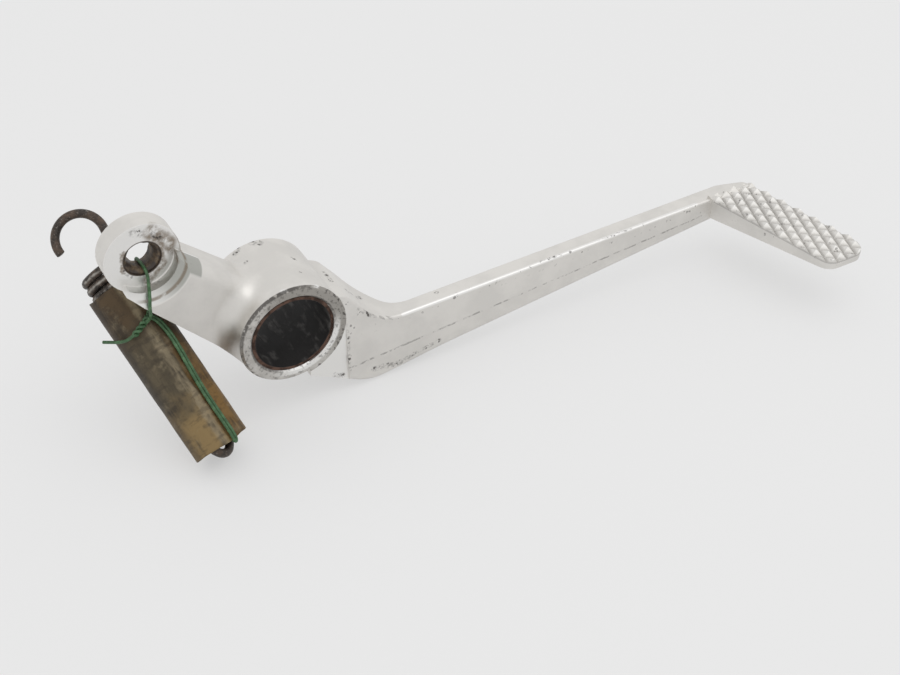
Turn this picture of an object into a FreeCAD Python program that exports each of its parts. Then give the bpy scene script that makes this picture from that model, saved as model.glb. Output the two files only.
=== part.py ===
"""Motorbike brake pedal: a cast lever with a pivot boss, a rod eye and a treaded foot pad,
its thin pivot bush, and the return spring in its sleeve that lies tied below the eye.

The origin is the middle of the pivot bore. Y runs along the bore, inboard; X runs towards the foot pad;
Z is up.
"""
import FreeCAD, Part
import math
import os

import Sketcher

doc = FreeCAD.newDocument("brake_pedal")

# Driving sizes in millimetres and degrees
SIZES = [
    # pivot boss and bush
    ("shaft_bore", 22.0),
    ("bush_wall", 1.0),
    ("bush_recess", 0.4),
    ("boss_diameter", 30.8),
    ("boss_length", 24.9),
    ("bore_chamfer", 0.6),
    ("boss_rim", 0.7),
    # long arm, as seen from the side
    ("flank_proud", 0.95),
    ("arm_width", 6.0),
    ("arm_length", 156.5),
    ("hump_x", 16.4),
    ("hump_z", 6.0),
    ("throat_x", 26.1),
    ("throat_z", -6.45),
    ("throat_radius", 14.0),
    ("arm_end_top", -4.4),
    ("arm_end_bottom", -11.3),
    ("belly_front_x", 46.0),
    ("belly_front_z", -23.7),
    ("belly_front_radius", 40.0),
    ("belly_x", 22.0),
    ("belly_z", -27.3),
    ("belly_radius", 14.0),
    ("heel_x", 4.0),
    ("heel_z", -17.0),
    # long arm, as seen from above, and its faces
    ("flare_x", 32.5),
    ("flare_boss_x", 21.8),
    ("flare_boss_y", 6.3),
    ("flare_boss_radius", 4.0),
    ("flare_radius", 10.0),
    ("end_turn_set_back", 11.3),
    ("end_turn_depth", 2.8),
    ("end_turn_radius", 8.0),
    ("end_corner_radius", 2.5),
    ("facing_x", 15.3),
    ("ridge_root_z", -18.3),
    ("ridge_end_z", -8.0),
    ("draft_angle", 3.0),
    ("edge_round", 0.8),
    ("belly_round", 2.2),
    # rod arm and eye
    ("eye_x", -34.0),
    ("eye_z", 30.5),
    ("eye_diameter", 20.4),
    ("eye_thickness", 6.0),
    ("rod_hole", 10.0),
    ("rod_arm_near", 5.0),
    ("rod_arm_low_eye", 9.9),
    ("rod_arm_boss_inset", 0.2),
    ("rod_arm_high", 5.7),
    ("rod_arm_round", 4.0),
    ("rod_arm_boss_round", 5.0),
    ("spot_diameter", 16.8),
    ("spot_wall", 3.2),
    ("cove_reach", 7.6),
    ("cove_rise", 3.8),
    # foot pad
    ("pad_set_back", 9.8),
    ("pad_root_inset", 1.5),
    ("pad_length", 44.2),
    ("pad_width", 15.0),
    ("pad_top", -3.5),
    ("pad_root_depth", 8.0),
    ("pad_tip_depth", 3.6),
    ("pad_tip_round", 4.5),
    ("pad_skew", 17.0),
    ("pad_tilt", 3.0),
    ("tread_step", 5.85),
    ("tread_land", 0.5),
    ("tread_angle", 34.0),
    ("tread_depth", 1.4),
    # return spring and sleeve
    ("wire_diameter", 2.5),
    ("coil_diameter", 13.6),
    ("coil_press", 0.05),
    ("coil_out", 7.4),
    ("coil_shown_turns", 3.0),
    ("coil_inset", 8.0),
    ("hook_rise", 10.0),
    ("hook_radius", 6.6),
    ("hook_tip_angle", 188.0),
    ("loop_out", 3.2),
    ("loop_turn", 60.0),
    ("sleeve_gap", 0.15),
    ("sleeve_wall", 1.05),
    ("sleeve_foot_x", -26.8),
    ("sleeve_foot_y", -21.75),
    ("sleeve_foot_z", -20.6),
    ("sleeve_head_x", -38.65),
    ("sleeve_head_y", 14.51),
    ("sleeve_head_z", 12.35),
    ("spring_turn", -26.0),
]

sheet = doc.addObject("Spreadsheet::Sheet", "Sizes")
for row, (name, number) in enumerate(SIZES, start=1):
    sheet.set("A%d" % row, name)
    sheet.set("B%d" % row, "%g" % number)
    sheet.setAlias("B%d" % row, name)
doc.recompute()


class Size:
    """A length that carries both its number and the expression that drives it."""

    def __init__(self, value, text):
        self.value = value
        self.text = text

    @staticmethod
    def of(other):
        return other if isinstance(other, Size) else Size(float(other), "%g" % other)

    def joined(self, other, sign, value):
        return Size(value, "(%s %s %s)" % (self.text, sign, Size.of(other).text))

    def __add__(self, other):
        return self.joined(other, "+", self.value + Size.of(other).value)

    def __sub__(self, other):
        return self.joined(other, "-", self.value - Size.of(other).value)

    def __mul__(self, other):
        return self.joined(other, "*", self.value * Size.of(other).value)

    def __truediv__(self, other):
        return self.joined(other, "/", self.value / Size.of(other).value)

    def __neg__(self):
        return Size(-self.value, "(0 - %s)" % self.text)


def size(name):
    return Size(float(sheet.get(name)), "Sizes." + name)


def root_of(square):
    return Size(math.sqrt(square.value), "sqrt(%s)" % square.text)


def tangent_of(angle):
    return Size(math.tan(math.radians(angle.value)), "tan(%s)" % angle.text)


def plane_of(body, role):
    return [item for item in body.Origin.OriginFeatures if item.Role == role][0]


def new_sketch(body, name, role, offset=None, turn=None):
    """A sketch on an origin plane of the body, set off from it or turned about the body's Z axis."""
    sketch = body.newObject("Sketcher::SketchObject", name)
    sketch.AttachmentSupport = (plane_of(body, role), "")
    sketch.MapMode = "FlatFace"
    if turn is not None:
        upright = FreeCAD.Vector(0, 0, 1) if role == "XY_Plane" else FreeCAD.Vector(0, 1, 0)
        spin = FreeCAD.Rotation(upright, turn.value)
        sketch.AttachmentOffset = FreeCAD.Placement(FreeCAD.Vector(0, 0, 0), spin)
        sketch.setExpression("AttachmentOffset.Rotation.Angle", turn.text)
    if offset is not None:
        sketch.setExpression("AttachmentOffset.Base.z", offset.text)
    return sketch


def fix_point(sketch, element, place, across, up):
    """Holds one point of a sketch at a distance from the sketch's origin, driven by the sizes."""
    for kind, distance in (("DistanceX", across), ("DistanceY", up)):
        distance = Size.of(distance)
        index = sketch.addConstraint(
            Sketcher.Constraint(kind, -1, 1, element, place, distance.value)
        )
        if "Sizes." in distance.text:
            sketch.setExpression("Constraints[%d]" % index, distance.text)


def corner_arc(before, corner, after, radius):
    """Where a round of the radius starts, ends and has its middle between two straight sides."""
    first = (before - corner).normalize()
    second = (after - corner).normalize()
    half = first.getAngle(second) / 2
    reach = radius / math.tan(half)
    middle = corner + (first + second).normalize() * (radius / math.sin(half))
    return corner + first * reach, corner + second * reach, middle


def add_outline(sketch, corners):
    """Draws a closed outline through corners given as (across, up) or (across, up, round radius)."""
    count = len(corners)
    spots = [FreeCAD.Vector(Size.of(c[0]).value, Size.of(c[1]).value, 0) for c in corners]
    rounds = {}
    for k, corner in enumerate(corners):
        if len(corner) == 3:
            rounds[k] = corner_arc(spots[k - 1], spots[k], spots[(k + 1) % count], corner[2].value)
    lines = []
    for k in range(count):
        after = (k + 1) % count
        start = rounds[k][1] if k in rounds else spots[k]
        end = rounds[after][0] if after in rounds else spots[after]
        lines.append(sketch.addGeometry(Part.LineSegment(start, end), False))
    for k, corner in enumerate(corners):
        before = lines[k - 1]
        if k not in rounds:
            sketch.addConstraint(Sketcher.Constraint("Coincident", before, 2, lines[k], 1))
            fix_point(sketch, lines[k], 1, corner[0], corner[1])
            continue
        start, end, middle = rounds[k]
        anticlockwise = (start - middle).cross(end - middle).z > 0
        ends = (1, 2) if anticlockwise else (2, 1)
        first, last = (start, end) if anticlockwise else (end, start)
        ring = Part.Circle(middle, FreeCAD.Vector(0, 0, 1), corner[2].value)
        arc = sketch.addGeometry(Part.ArcOfCircle(ring, ring.parameter(first), ring.parameter(last)), False)
        sketch.addConstraint(Sketcher.Constraint("Tangent", before, 2, arc, ends[0]))
        sketch.addConstraint(Sketcher.Constraint("Tangent", lines[k], 1, arc, ends[1]))
        index = sketch.addConstraint(Sketcher.Constraint("Radius", arc, corner[2].value))
        sketch.setExpression("Constraints[%d]" % index, corner[2].text)
        point = sketch.addGeometry(Part.Point(spots[k]), True)
        sketch.addConstraint(Sketcher.Constraint("PointOnObject", point, 1, before))
        sketch.addConstraint(Sketcher.Constraint("PointOnObject", point, 1, lines[k]))
        fix_point(sketch, point, 1, corner[0], corner[1])


def add_circle(sketch, across, up, diameter):
    middle = FreeCAD.Vector(Size.of(across).value, Size.of(up).value, 0)
    normal = FreeCAD.Vector(0, 0, 1)
    ring = sketch.addGeometry(Part.Circle(middle, normal, diameter.value / 2), False)
    fix_point(sketch, ring, 3, across, up)
    index = sketch.addConstraint(Sketcher.Constraint("Diameter", ring, diameter.value))
    sketch.setExpression("Constraints[%d]" % index, diameter.text)


def extrude(body, kind, name, sketch, length, other=None, backwards=False):
    """A pad or pocket of the sketch, to one side, or to two sides where another length is given."""
    feature = body.newObject("PartDesign::" + kind, name)
    feature.Profile = sketch
    feature.Reversed = backwards
    feature.SideType = "One side" if other is None else "Two sides"
    feature.setExpression("Length", length.text)
    if other is not None:
        feature.setExpression("Length2", other.text)
    doc.recompute()
    return feature


def edges_where(shape, test):
    return ["Edge%d" % (k + 1) for k, edge in enumerate(shape.Edges) if test(edge)]


def dress(body, kind, name, base, test, amount, prop):
    """A fillet or chamfer on the edges of the base that pass the test."""
    feature = body.newObject("PartDesign::" + kind, name)
    feature.Base = (base, edges_where(base.Shape, test))
    feature.setExpression(prop, amount.text)
    doc.recompute()
    return feature


def middle_of(edge):
    return edge.valueAt((edge.FirstParameter + edge.LastParameter) / 2)


# Shared places
boss_face = size("boss_length") / 2
flank = boss_face + size("flank_proud")
arm_far = flank - size("arm_width")
bush_outer = size("shaft_bore") + size("bush_wall") * 2
eye_far = size("eye_thickness")
half_pad = size("pad_width") / 2
skew = tangent_of(size("pad_skew"))
half_pad_along_arm = half_pad * root_of(skew * skew + 1)
pad_x = size("arm_length") - size("pad_set_back")
pad_root = flank - size("pad_root_inset")


def pad_far_side(depth):
    """How far along the arm the pad's far side lies, at a depth outboard of the bore's middle."""
    return pad_x + half_pad_along_arm + (depth - pad_root) * skew



# The casting is modelled as three bodies, the long arm, the hub and the foot pad, and fused
shank = doc.addObject("PartDesign::Body", "shank")

# Long arm: its side view, then the flare of its root as seen from above
arm_outline = new_sketch(shank, "arm_outline", "XZ_Plane")
add_outline(
    arm_outline,
    [
        (size("heel_x"), 0),
        (size("hump_x") - size("heel_x"), size("hump_z") + size("heel_x") / 2),
        (size("hump_x"), size("hump_z")),
        (size("throat_x"), size("throat_z"), size("throat_radius")),
        (size("arm_length"), size("arm_end_top")),
        (size("arm_length"), size("arm_end_bottom")),
        (size("belly_front_x"), size("belly_front_z"), size("belly_front_radius")),
        (size("belly_x"), size("belly_z"), size("belly_radius")),
        (size("heel_x"), size("heel_z")),
    ],
)
arm = extrude(shank, "Pad", "arm", arm_outline, flank, boss_face)

# The arm's end turns towards the pad and runs flush with the pad's far side
far_clear = size("boss_length")
near_clear = flank + size("arm_width")
end_corner = arm_far + size("end_turn_depth")
plan_outline = new_sketch(shank, "plan_outline", "XY_Plane")
add_outline(
    plan_outline,
    [
        (pad_far_side(near_clear), -near_clear),
        (size("arm_length") + far_clear * 2, -near_clear),
        (size("arm_length") + far_clear * 2, boss_face + far_clear),
        (size("heel_x") - far_clear, boss_face + far_clear),
        (size("heel_x") - far_clear, size("flare_boss_y")),
        (size("flare_boss_x"), size("flare_boss_y"), size("flare_boss_radius")),
        (size("flare_x"), -arm_far, size("flare_radius")),
        (size("arm_length") - size("end_turn_set_back"), -arm_far, size("end_turn_radius")),
        (pad_far_side(end_corner), -end_corner, size("end_corner_radius")),
    ],
)
tall = size("boss_diameter") * 2
plan_cut = extrude(shank, "Pocket", "plan_cut", plan_outline, tall, tall)


def ridge_at(place):
    """Height of the parting ridge on the arm's outer face at a distance along the arm."""
    share = (place - size("facing_x")) / (size("arm_length") - size("facing_x"))
    return size("ridge_root_z") + (size("ridge_end_z") - size("ridge_root_z")) * share


# Draft: the outer face leans back above and below the parting ridge
slope = tangent_of(size("draft_angle"))
ridge_rise = (size("ridge_end_z") - size("ridge_root_z")) / (size("arm_length") - size("facing_x"))
for name, limit in (("draft_above", size("boss_diameter")), ("draft_below", -size("boss_diameter"))):
    wedge = new_sketch(shank, name + "_wedge", "YZ_Plane", size("facing_x"))
    level = size("ridge_root_z")
    fall = (limit - level) * slope
    add_outline(
        wedge,
        [
            (-flank, level),
            (-(flank + size("arm_width")), level),
            (-(flank + size("arm_width")), limit),
            ((fall if limit.value > 0 else -fall) - flank, limit),
        ],
    )
    lean = shank.newObject("PartDesign::Pocket", name)
    lean.Profile = wedge
    lean.UseCustomVector = True
    lean.Direction = FreeCAD.Vector(1, 0, ridge_rise.value)
    lean.setExpression("Direction.z", ridge_rise.text)
    lean.AlongSketchNormal = True
    lean.SideType = "Two sides"
    lean.setExpression("Length", (size("arm_length") * 2).text)
    lean.setExpression("Length2", (size("arm_length") * 2).text)
    doc.recompute()


# The long edges are rounded; each round runs on along the edges that follow smoothly
arm_middle = -(flank.value + arm_far.value) / 2


def long_arm_edge(edge):
    level = ridge_at(Size(middle_of(edge).x, "x")).value
    return edge.Length > size("arm_length").value / 2 and abs(middle_of(edge).z - level) > 1.0


def above_ridge(edge):
    return middle_of(edge).z > ridge_at(Size(middle_of(edge).x, "x")).value


def outer_top_edge(edge):
    return long_arm_edge(edge) and middle_of(edge).y < arm_middle and above_ridge(edge)


def outer_belly_edge(edge):
    return long_arm_edge(edge) and middle_of(edge).y < arm_middle and not above_ridge(edge)


def inner_arm_edge(edge):
    return long_arm_edge(edge) and middle_of(edge).y > arm_middle


dress(shank, "Fillet", "outer_top", shank.Tip, outer_top_edge, size("edge_round"), "Radius")
dress(shank, "Fillet", "outer_belly", shank.Tip, outer_belly_edge, size("belly_round"), "Radius")
dress(shank, "Fillet", "inner_edges", shank.Tip, inner_arm_edge, size("edge_round"), "Radius")

# The outer end of the boss is faced flat, with a step where the cut ends against the arm
facing_outline = new_sketch(shank, "facing_outline", "XZ_Plane", boss_face)
add_outline(
    facing_outline,
    [
        (-size("boss_diameter"), -size("boss_diameter")),
        (size("facing_x"), -size("boss_diameter")),
        (size("facing_x"), size("boss_diameter")),
        (-size("boss_diameter"), size("boss_diameter")),
    ],
)
facing = extrude(shank, "Pocket", "facing", facing_outline, size("flank_proud") * 2, None, True)

arm_bore_outline = new_sketch(shank, "arm_bore_outline", "XZ_Plane")
add_circle(arm_bore_outline, 0, 0, bush_outer)
extrude(shank, "Pocket", "arm_bore", arm_bore_outline, boss_face * 2, boss_face * 2)

# Hub: boss, rod arm and eye
hub = doc.addObject("PartDesign::Body", "hub")
boss_outline = new_sketch(hub, "boss_outline", "XZ_Plane")
add_circle(boss_outline, 0, 0, size("boss_diameter"))
boss = extrude(hub, "Pad", "boss", boss_outline, boss_face, boss_face)

# The rod arm runs from the boss to the eye; "low" and "high" are its widths each side of that line
reach = root_of(size("eye_x") * size("eye_x") + size("eye_z") * size("eye_z"))
low_boss = size("boss_diameter") / 2 - size("rod_arm_boss_inset")
side_x = size("eye_z") / reach
side_z = -size("eye_x") / reach
rod_arm_outline = new_sketch(hub, "rod_arm_outline", "XZ_Plane")
add_outline(
    rod_arm_outline,
    [
        (size("eye_x") - side_x * size("rod_arm_low_eye"), size("eye_z") - side_z * size("rod_arm_low_eye")),
        (-(side_x * low_boss), -(side_z * low_boss)),
        (side_x * size("rod_arm_high"), side_z * size("rod_arm_high")),
        (size("eye_x") + side_x * size("rod_arm_high"), size("eye_z") + side_z * size("rod_arm_high")),
    ],
)
rod_arm = extrude(hub, "Pad", "rod_arm", rod_arm_outline, size("rod_arm_near"), eye_far)

eye_outline = new_sketch(hub, "eye_outline", "XZ_Plane")
add_circle(eye_outline, size("eye_x"), size("eye_z"), size("eye_diameter"))
eye = extrude(hub, "Pad", "eye", eye_outline, eye_far, None, True)


def on_rod_arm_top_near(edge):
    point = middle_of(edge)
    height = point.x * side_x.value + point.z * side_z.value
    near = abs(point.y + size("rod_arm_near").value) < 0.01
    return near and abs(height - size("rod_arm_high").value) < 0.01 and len(edge.Vertexes) == 2


rod_arm_crest = dress(
    hub, "Fillet", "rod_arm_crest", eye, on_rod_arm_top_near, size("rod_arm_round"), "Radius"
)


def on_boss_wall_near(edge):
    curve = edge.Curve
    if not isinstance(curve, Part.Circle) or abs(curve.Radius - size("boss_diameter").value / 2) > 0.01:
        return False
    return abs(curve.Center.y + size("rod_arm_near").value) < 0.01


rod_arm_blend = dress(
    hub, "Fillet", "rod_arm_blend", rod_arm_crest, on_boss_wall_near, size("rod_arm_boss_round"), "Radius"
)

# The eye is faced back by a stepped cutter that leaves a wall and a cove in the arm
spot_radius = size("spot_diameter") / 2
spot_profile = new_sketch(hub, "spot_profile", "XY_Plane", size("eye_z"))
clear = size("rod_arm_near") * 2
cove_edge = spot_radius + size("cove_reach")
cove_level = size("spot_wall") + size("cove_rise")
add_outline(
    spot_profile,
    [
        (size("eye_x"), 0),
        (size("eye_x") + spot_radius, 0),
        (size("eye_x") + spot_radius, -size("spot_wall")),
        (size("eye_x") + cove_edge, -cove_level),
        (size("eye_x") + cove_edge, -(cove_level + clear)),
        (size("eye_x"), -(cove_level + clear)),
    ],
)
spot_face = hub.newObject("PartDesign::Groove", "spot_face")
spot_face.Profile = spot_profile
spot_face.ReferenceAxis = (spot_profile, ["Edge6"])
doc.recompute()

# Bores
bore_outline = new_sketch(hub, "bore_outline", "XZ_Plane")
add_circle(bore_outline, 0, 0, bush_outer)
bore = extrude(hub, "Pocket", "bore", bore_outline, boss_face * 2, boss_face * 2)


def on_bore_mouth(edge):
    curve = edge.Curve
    if not isinstance(curve, Part.Circle) or abs(curve.Radius - bush_outer.value / 2) > 0.01:
        return False
    return abs(abs(curve.Center.y) - boss_face.value) < 0.01


bore_mouths = dress(hub, "Chamfer", "bore_mouths", bore, on_bore_mouth, size("bore_chamfer"), "Size")


def on_boss_rim(edge):
    curve = edge.Curve
    if not isinstance(curve, Part.Circle) or abs(curve.Radius - size("boss_diameter").value / 2) > 0.01:
        return False
    return abs(abs(curve.Center.y) - boss_face.value) < 0.01


boss_rims = dress(hub, "Chamfer", "boss_rims", bore_mouths, on_boss_rim, size("boss_rim"), "Size")
rod_hole_outline = new_sketch(hub, "rod_hole_outline", "XZ_Plane")
add_circle(rod_hole_outline, size("eye_x"), size("eye_z"), size("rod_hole"))
rod_hole = extrude(hub, "Pocket", "rod_hole", rod_hole_outline, eye_far * 2, eye_far * 2)

# Foot pad, in its own frame: X along the pad from the arm, Y across it, Z square to the tread.
# Its sides are skewed and its ends lie along the arm
pad = doc.addObject("PartDesign::Body", "pad")
pad_side = new_sketch(pad, "pad_side", "XZ_Plane")
add_outline(
    pad_side,
    [
        (0, 0),
        (size("pad_length"), 0),
        (size("pad_length"), -size("pad_tip_depth")),
        (0, -size("pad_root_depth")),
    ],
)
slab = pad.newObject("PartDesign::Pad", "slab")
slab.Profile = pad_side
slab.UseCustomVector = True
slab.Direction = FreeCAD.Vector(skew.value, 1, 0)
slab.setExpression("Direction.x", skew.text)
slab.AlongSketchNormal = True
slab.SideType = "Two sides"
slab.setExpression("Length", half_pad.text)
slab.setExpression("Length2", half_pad.text)
doc.recompute()


def at_pad_tip(edge):
    points = [vertex.Point for vertex in edge.Vertexes]
    outward = all(p.x > size("pad_length").value / 2 for p in points)
    return outward and abs(points[0].z - points[-1].z) > 0.1 and abs(points[0].y - points[-1].y) < 0.01


pad_tip = dress(pad, "Fillet", "pad_tip", slab, at_pad_tip, size("pad_tip_round"), "Radius")

# Two sets of grooves, slanting across the pad's length, leave blunt pyramids
slant = Size(1.0, "1") / tangent_of(size("tread_angle"))
half_groove = (size("tread_step") - size("tread_land")) / 2
groove_profile = new_sketch(pad, "groove_profile", "XZ_Plane")
first_groove = -(half_pad * slant)
add_outline(
    groove_profile,
    [
        (first_groove - half_groove * 2, size("tread_depth")),
        (first_groove, -size("tread_depth")),
        (first_groove + half_groove * 2, size("tread_depth")),
    ],
)
for name, lean in (("groove_left", slant), ("groove_right", -slant)):
    groove = pad.newObject("PartDesign::Pocket", name)
    groove.Profile = groove_profile
    groove.UseCustomVector = True
    groove.Direction = FreeCAD.Vector(lean.value, 1, 0)
    groove.setExpression("Direction.x", lean.text)
    groove.AlongSketchNormal = False
    groove.SideType = "Two sides"
    groove.setExpression("Length", (size("pad_width") * 2).text)
    groove.setExpression("Length2", (size("pad_width") * 2).text)
    doc.recompute()
    row = pad.newObject("PartDesign::LinearPattern", name + "s")
    row.Originals = [groove]
    row.Direction = (plane_of(pad, "X_Axis"), [""])
    row.Mode = "Spacing"
    row.setExpression("Offset", size("tread_step").text)
    count = (size("pad_length") + half_pad * (slant * 2 + skew)) / size("tread_step")
    row.setExpression("Occurrences", "floor(%s) + 1" % count.text)
    pad.Tip = row
    doc.recompute()

pad.setExpression("Placement.Base.x", pad_x.text)
pad.setExpression("Placement.Base.y", (-pad_root).text)
pad.setExpression("Placement.Base.z", size("pad_top").text)
turn = FreeCAD.Rotation(size("pad_skew").value - 90, size("pad_tilt").value, 0)
pad.Placement = FreeCAD.Placement(pad.Placement.Base, turn)
doc.recompute()

casting = doc.addObject("Part::MultiFuse", "pedal_casting")
casting.Shapes = [hub, shank, pad]
casting.Refine = True
doc.recompute()

# Bush: a thin liner pressed into the bore, a little short at both ends
bush = doc.addObject("PartDesign::Body", "pivot_bush")
bush_ring = new_sketch(bush, "bush_ring", "XZ_Plane")
add_circle(bush_ring, 0, 0, bush_outer)
add_circle(bush_ring, 0, 0, size("shaft_bore"))
half_bush = boss_face - size("bush_recess")
extrude(bush, "Pad", "bush_wall_pad", bush_ring, half_bush, half_bush)

# Spring and sleeve share one axis, from the sleeve's foot to its head
foot = FreeCAD.Vector(*[size("sleeve_foot_" + letter).value for letter in "xyz"])
head = FreeCAD.Vector(*[size("sleeve_head_" + letter).value for letter in "xyz"])
sleeve_axis = (head - foot).normalize()
level_side = sleeve_axis.cross(FreeCAD.Vector(0, 0, 1)).normalize()
turned = FreeCAD.Rotation(sleeve_axis, size("spring_turn").value)
hook_side = turned.multVec(level_side)
lie = FreeCAD.Placement(foot, FreeCAD.Rotation(hook_side, FreeCAD.Vector(0, 0, 0), sleeve_axis, "ZXY"))
gaps = [size("sleeve_head_" + letter) - size("sleeve_foot_" + letter) for letter in "xyz"]
sleeve_length = root_of(gaps[0] * gaps[0] + gaps[1] * gaps[1] + gaps[2] * gaps[2])

sleeve = doc.addObject("PartDesign::Body", "spring_sleeve")
sleeve_ring = new_sketch(sleeve, "sleeve_ring", "XY_Plane")
sleeve_inner = size("coil_diameter") + size("sleeve_gap") * 2
add_circle(sleeve_ring, 0, 0, sleeve_inner + size("sleeve_wall") * 2)
add_circle(sleeve_ring, 0, 0, sleeve_inner)
extrude(sleeve, "Pad", "sleeve_tube", sleeve_ring, sleeve_length)
sleeve.Placement = lie

# Return spring: close turns, with the ones inside the sleeve as one wall, a hook and a loop
spring = doc.addObject("PartDesign::Body", "return_spring")
coil_middle = (size("coil_diameter") - size("wire_diameter")) / 2
coil_pitch = size("wire_diameter") - size("coil_press")
coil_top = sleeve_length + size("coil_out") - size("wire_diameter") / 2
coil_start = coil_top - coil_pitch * (size("coil_shown_turns") - 1)

hidden_ring = new_sketch(spring, "hidden_ring", "XY_Plane", size("coil_inset"))
hidden_wall = size("wire_diameter") - size("coil_press") * 4
add_circle(hidden_ring, 0, 0, coil_middle * 2 + hidden_wall)
add_circle(hidden_ring, 0, 0, coil_middle * 2 - hidden_wall)
extrude(spring, "Pad", "hidden_turns", hidden_ring, coil_start - size("coil_inset"))

# The turns in view and the loop have an eight-sided section that keeps them light
half_wire = size("wire_diameter") / 2
flat = half_wire * tangent_of(Size(22.5, "22.5"))


def add_wire_section(sketch, across, up):
    octagon = [
        (half_wire, -flat),
        (half_wire, flat),
        (flat, half_wire),
        (-flat, half_wire),
        (-half_wire, flat),
        (-half_wire, -flat),
        (-flat, -half_wire),
        (flat, -half_wire),
    ]
    add_outline(sketch, [(across + side, Size.of(up) + rise) for side, rise in octagon])


coil_section = new_sketch(spring, "coil_section", "XZ_Plane")
add_wire_section(coil_section, coil_middle, coil_top)
last_turn = spring.newObject("PartDesign::Revolution", "last_turn")
last_turn.Profile = coil_section
last_turn.ReferenceAxis = (plane_of(spring, "Z_Axis"), [""])
doc.recompute()
shown_turns = spring.newObject("PartDesign::LinearPattern", "shown_turns")
shown_turns.Originals = [last_turn]
shown_turns.Direction = (plane_of(spring, "Z_Axis"), [""])
shown_turns.Reversed = True
shown_turns.Mode = "Spacing"
shown_turns.setExpression("Offset", coil_pitch.text)
shown_turns.setExpression("Occurrences", size("coil_shown_turns").text)
spring.Tip = shown_turns
doc.recompute()

# The hook: a straight leg up from the last turn, then a half circle over the axis
hook_level = coil_top + size("hook_rise")
leg_rise = size("hook_rise").value
leg_reach = math.hypot(coil_middle.value, leg_rise)
leg_lean = math.degrees(
    math.atan2(leg_rise, coil_middle.value) - math.acos(size("hook_radius").value / leg_reach)
)
leg_length = math.sqrt(leg_reach**2 - size("hook_radius").value ** 2)
leg_section = new_sketch(spring, "leg_section", "XY_Plane")
leg_section.AttachmentOffset = FreeCAD.Placement(
    FreeCAD.Vector(coil_middle.value, 0, coil_top.value), FreeCAD.Rotation(FreeCAD.Vector(0, 1, 0), leg_lean)
)
add_circle(leg_section, 0, 0, size("wire_diameter"))
leg = spring.newObject("PartDesign::Pad", "hook_leg")
leg.Profile = leg_section
leg.Length = leg_length
doc.recompute()


def revolve(name, section, angle, other=None):
    """Turns a section about its sketch's upright axis, by one angle or to both sides."""
    feature = spring.newObject("PartDesign::Revolution", name)
    feature.Profile = section
    feature.ReferenceAxis = (section, ["V_Axis"])
    feature.Reversed = True
    feature.Angle = angle
    if other is not None:
        feature.Type = "TwoAngles"
        feature.Angle2 = other
    doc.recompute()
    return feature


bend_section = new_sketch(spring, "bend_section", "XY_Plane", hook_level)
add_circle(bend_section, size("hook_radius"), 0, size("wire_diameter"))
bend = revolve("hook_bend", bend_section, size("hook_tip_angle").value, leg_lean)

# The loop at the other end: the last turn bent square to the coil
loop_level = coil_middle + half_wire - size("loop_out")
loop_root = size("coil_inset") + half_wire
for name, side in (("loop_leg_1", coil_middle), ("loop_leg_2", -coil_middle)):
    loop_leg_section = new_sketch(spring, name + "_section", "XY_Plane", loop_level, size("loop_turn"))
    add_wire_section(loop_leg_section, side, 0)
    extrude(spring, "Pad", name, loop_leg_section, loop_root - loop_level)
bow_section = new_sketch(spring, "bow_section", "XY_Plane", loop_level, size("loop_turn"))
add_wire_section(bow_section, -coil_middle, 0)
bow = revolve("loop_bow", bow_section, 180)
spring.Placement = lie
doc.recompute()

EXPORTED = [
    (casting, "pedal_casting"),
    (bush, "pivot_bush"),
    (sleeve, "spring_sleeve"),
    (spring, "return_spring"),
]

for item in doc.Objects:
    if "Invalid" in item.State or "Error" in item.State:
        raise RuntimeError("%s failed: %s" % (item.Name, item.State))
os.makedirs("parts", exist_ok=True)
for item, name in EXPORTED:
    if item.Shape.isNull() or not item.Shape.isValid():
        raise RuntimeError("%s has no valid shape" % name)
    print(name, len(item.Shape.Solids), "solids", round(item.Shape.Volume, 1), item.Shape.BoundBox)
    item.Shape.exportStep("parts/%s.step" % name)
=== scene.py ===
"""Brake pedal with its return spring: metal finishes, spring wire, sleeve, tie wire and the stage."""

import math
from types import SimpleNamespace

import bmesh
import bpy
from mathutils import Matrix, Vector, noise


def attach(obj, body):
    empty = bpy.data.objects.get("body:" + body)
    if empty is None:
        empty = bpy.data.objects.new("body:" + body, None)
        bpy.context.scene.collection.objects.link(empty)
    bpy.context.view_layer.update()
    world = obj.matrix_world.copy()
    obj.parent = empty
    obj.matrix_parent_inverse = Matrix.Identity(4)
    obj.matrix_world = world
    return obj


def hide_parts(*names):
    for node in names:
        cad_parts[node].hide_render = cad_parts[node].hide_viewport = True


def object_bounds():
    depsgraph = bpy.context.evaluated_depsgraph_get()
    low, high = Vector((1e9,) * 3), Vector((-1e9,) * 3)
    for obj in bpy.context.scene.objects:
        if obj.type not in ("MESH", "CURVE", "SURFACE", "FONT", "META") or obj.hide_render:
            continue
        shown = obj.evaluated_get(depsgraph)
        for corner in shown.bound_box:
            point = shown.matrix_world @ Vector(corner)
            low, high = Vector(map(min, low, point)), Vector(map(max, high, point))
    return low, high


bl_info = {
    "name": "Brake pedal",
    "version": (1, 0, 0),
    "blender": (4, 5, 0),
    "location": "View3D > Sidebar > Brake pedal",
    "description": "Finishes a cast brake pedal and builds its return spring, sleeve and tie wire",
    "category": "Object",
}

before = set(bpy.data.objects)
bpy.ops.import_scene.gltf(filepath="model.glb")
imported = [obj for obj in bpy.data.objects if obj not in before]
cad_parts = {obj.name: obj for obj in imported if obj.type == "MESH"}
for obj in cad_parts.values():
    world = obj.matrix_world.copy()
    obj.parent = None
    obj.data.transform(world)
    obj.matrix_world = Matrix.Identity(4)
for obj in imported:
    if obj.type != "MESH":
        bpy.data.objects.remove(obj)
CAD_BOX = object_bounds()
MM = 0.001

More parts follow.
